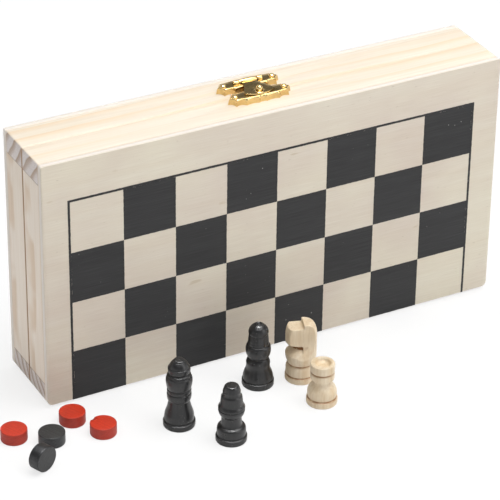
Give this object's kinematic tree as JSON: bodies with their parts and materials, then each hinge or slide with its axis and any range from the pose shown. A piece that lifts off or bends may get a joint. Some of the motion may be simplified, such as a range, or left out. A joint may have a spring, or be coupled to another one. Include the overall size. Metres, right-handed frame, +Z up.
{
  "type": "folding games box",
  "caption": "Hinged wooden games box with a chessboard outside, backgammon inside and a brass clasp, with chessmen and counters packed in it and set out before it.",
  "frame": {"origin": "on the table, in the middle of the ground that the case and the loose men cover", "axes": "+X along the fold of the case, +Y from the loose men to the back of the case, +Z up"},
  "size_m": [0.2552, 0.1032, 0.1276],
  "materials": {
    "pine": "clear satin pine with fine straight grain",
    "plywood": "clear satin plywood with a pale face veneer",
    "dark_ink": "dark grey screen print",
    "red_ink": "red screen print",
    "brass": "thin pressed brass, lacquered",
    "black_wood": "black satin lacquer on turned wood",
    "pale_wood": "clear satin lacquer on turned wood",
    "red_wood": "red satin lacquer on turned wood",
    "ivory": "glossy off-white"
  },
  "bodies": {
    "front_case": {"front_panel": "plywood", "front_hinge_rail": "pine", "front_latch_rail": "pine", "front_left_rail": "pine", "front_right_rail": "pine", "front_board_print": "dark_ink", "front_points_dark": "dark_ink", "front_points_red": "red_ink", "left_hinge_front_leaf": "brass", "left_hinge_pin": "brass", "right_hinge_front_leaf": "brass", "right_hinge_pin": "brass", "front_hinge_nails": "brass", "clasp_catch_plate": "brass", "clasp_stud": "brass", "clasp_catch_nails": "brass", "packed_black_pawns": "black_wood", "packed_white_pawns": "pale_wood", "packed_black_rooks": "black_wood", "packed_white_rook": "pale_wood", "packed_black_knights": "black_wood", "packed_white_knight": "pale_wood", "packed_black_bishop": "black_wood", "packed_white_bishops": "pale_wood", "packed_white_queen": "pale_wood", "packed_white_king": "pale_wood", "packed_red_discs": "red_wood", "packed_black_discs": "black_wood", "packed_dice": "ivory"},
    "rear_case": {"rear_panel": "plywood", "rear_hinge_rail": "pine", "rear_latch_rail": "pine", "rear_left_rail": "pine", "rear_right_rail": "pine", "rear_board_print": "dark_ink", "rear_points_dark": "dark_ink", "rear_points_red": "red_ink", "left_hinge_rear_leaf": "brass", "right_hinge_rear_leaf": "brass", "rear_hinge_nails": "brass", "clasp_hinge_plate": "brass", "clasp_pin": "brass", "clasp_hinge_nails": "brass"},
    "clasp_tongue": {"clasp_tongue": "brass"},
    "black_king": {"black_king": "black_wood"},
    "black_queen": {"black_queen": "black_wood"},
    "black_bishop": {"black_bishop": "black_wood"},
    "white_knight": {"white_knight": "pale_wood"},
    "white_rook": {"white_rook": "pale_wood"},
    "red_disc_left": {"red_disc_left": "red_wood"},
    "red_disc_middle": {"red_disc_middle": "red_wood"},
    "red_disc_right": {"red_disc_right": "red_wood"},
    "black_disc_flat": {"black_disc_flat": "black_wood"},
    "black_disc_on_edge": {"black_disc_on_edge": "black_wood"}
  },
  "joints": [
    {"name": "case_hinge", "type": "hinge", "parent": "front_case", "child": "rear_case", "pos_m": [0.01415, 0.0318, 0.00125], "axis": [-1, 0, 0], "range_deg": [0, 180]},
    {"name": "clasp_tongue_hinge", "type": "hinge", "parent": "rear_case", "child": "clasp_tongue", "pos_m": [0.01215, 0.0386, 0.12475], "axis": [-1, 0, 0], "range_deg": [0, 170]},
    {"name": "lift_black_king", "type": "slide", "parent": "front_case", "child": "black_king", "axis": [0, 0, 1], "range_m": [0, 0.04]},
    {"name": "lift_black_queen", "type": "slide", "parent": "front_case", "child": "black_queen", "axis": [0, 0, 1], "range_m": [0, 0.04]},
    {"name": "lift_black_bishop", "type": "slide", "parent": "front_case", "child": "black_bishop", "axis": [0, 0, 1], "range_m": [0, 0.04]},
    {"name": "lift_white_knight", "type": "slide", "parent": "front_case", "child": "white_knight", "axis": [0, 0, 1], "range_m": [0, 0.04]},
    {"name": "lift_white_rook", "type": "slide", "parent": "front_case", "child": "white_rook", "axis": [0, 0, 1], "range_m": [0, 0.04]},
    {"name": "lift_red_disc_left", "type": "slide", "parent": "front_case", "child": "red_disc_left", "axis": [0, 0, 1], "range_m": [0, 0.04]},
    {"name": "lift_red_disc_middle", "type": "slide", "parent": "front_case", "child": "red_disc_middle", "axis": [0, 0, 1], "range_m": [0, 0.04]},
    {"name": "lift_red_disc_right", "type": "slide", "parent": "front_case", "child": "red_disc_right", "axis": [0, 0, 1], "range_m": [0, 0.04]},
    {"name": "lift_black_disc_flat", "type": "slide", "parent": "front_case", "child": "black_disc_flat", "axis": [0, 0, 1], "range_m": [0, 0.04]},
    {"name": "lift_black_disc_on_edge", "type": "slide", "parent": "front_case", "child": "black_disc_on_edge", "axis": [0, 0, 1], "range_m": [0, 0.04]}
  ]
}
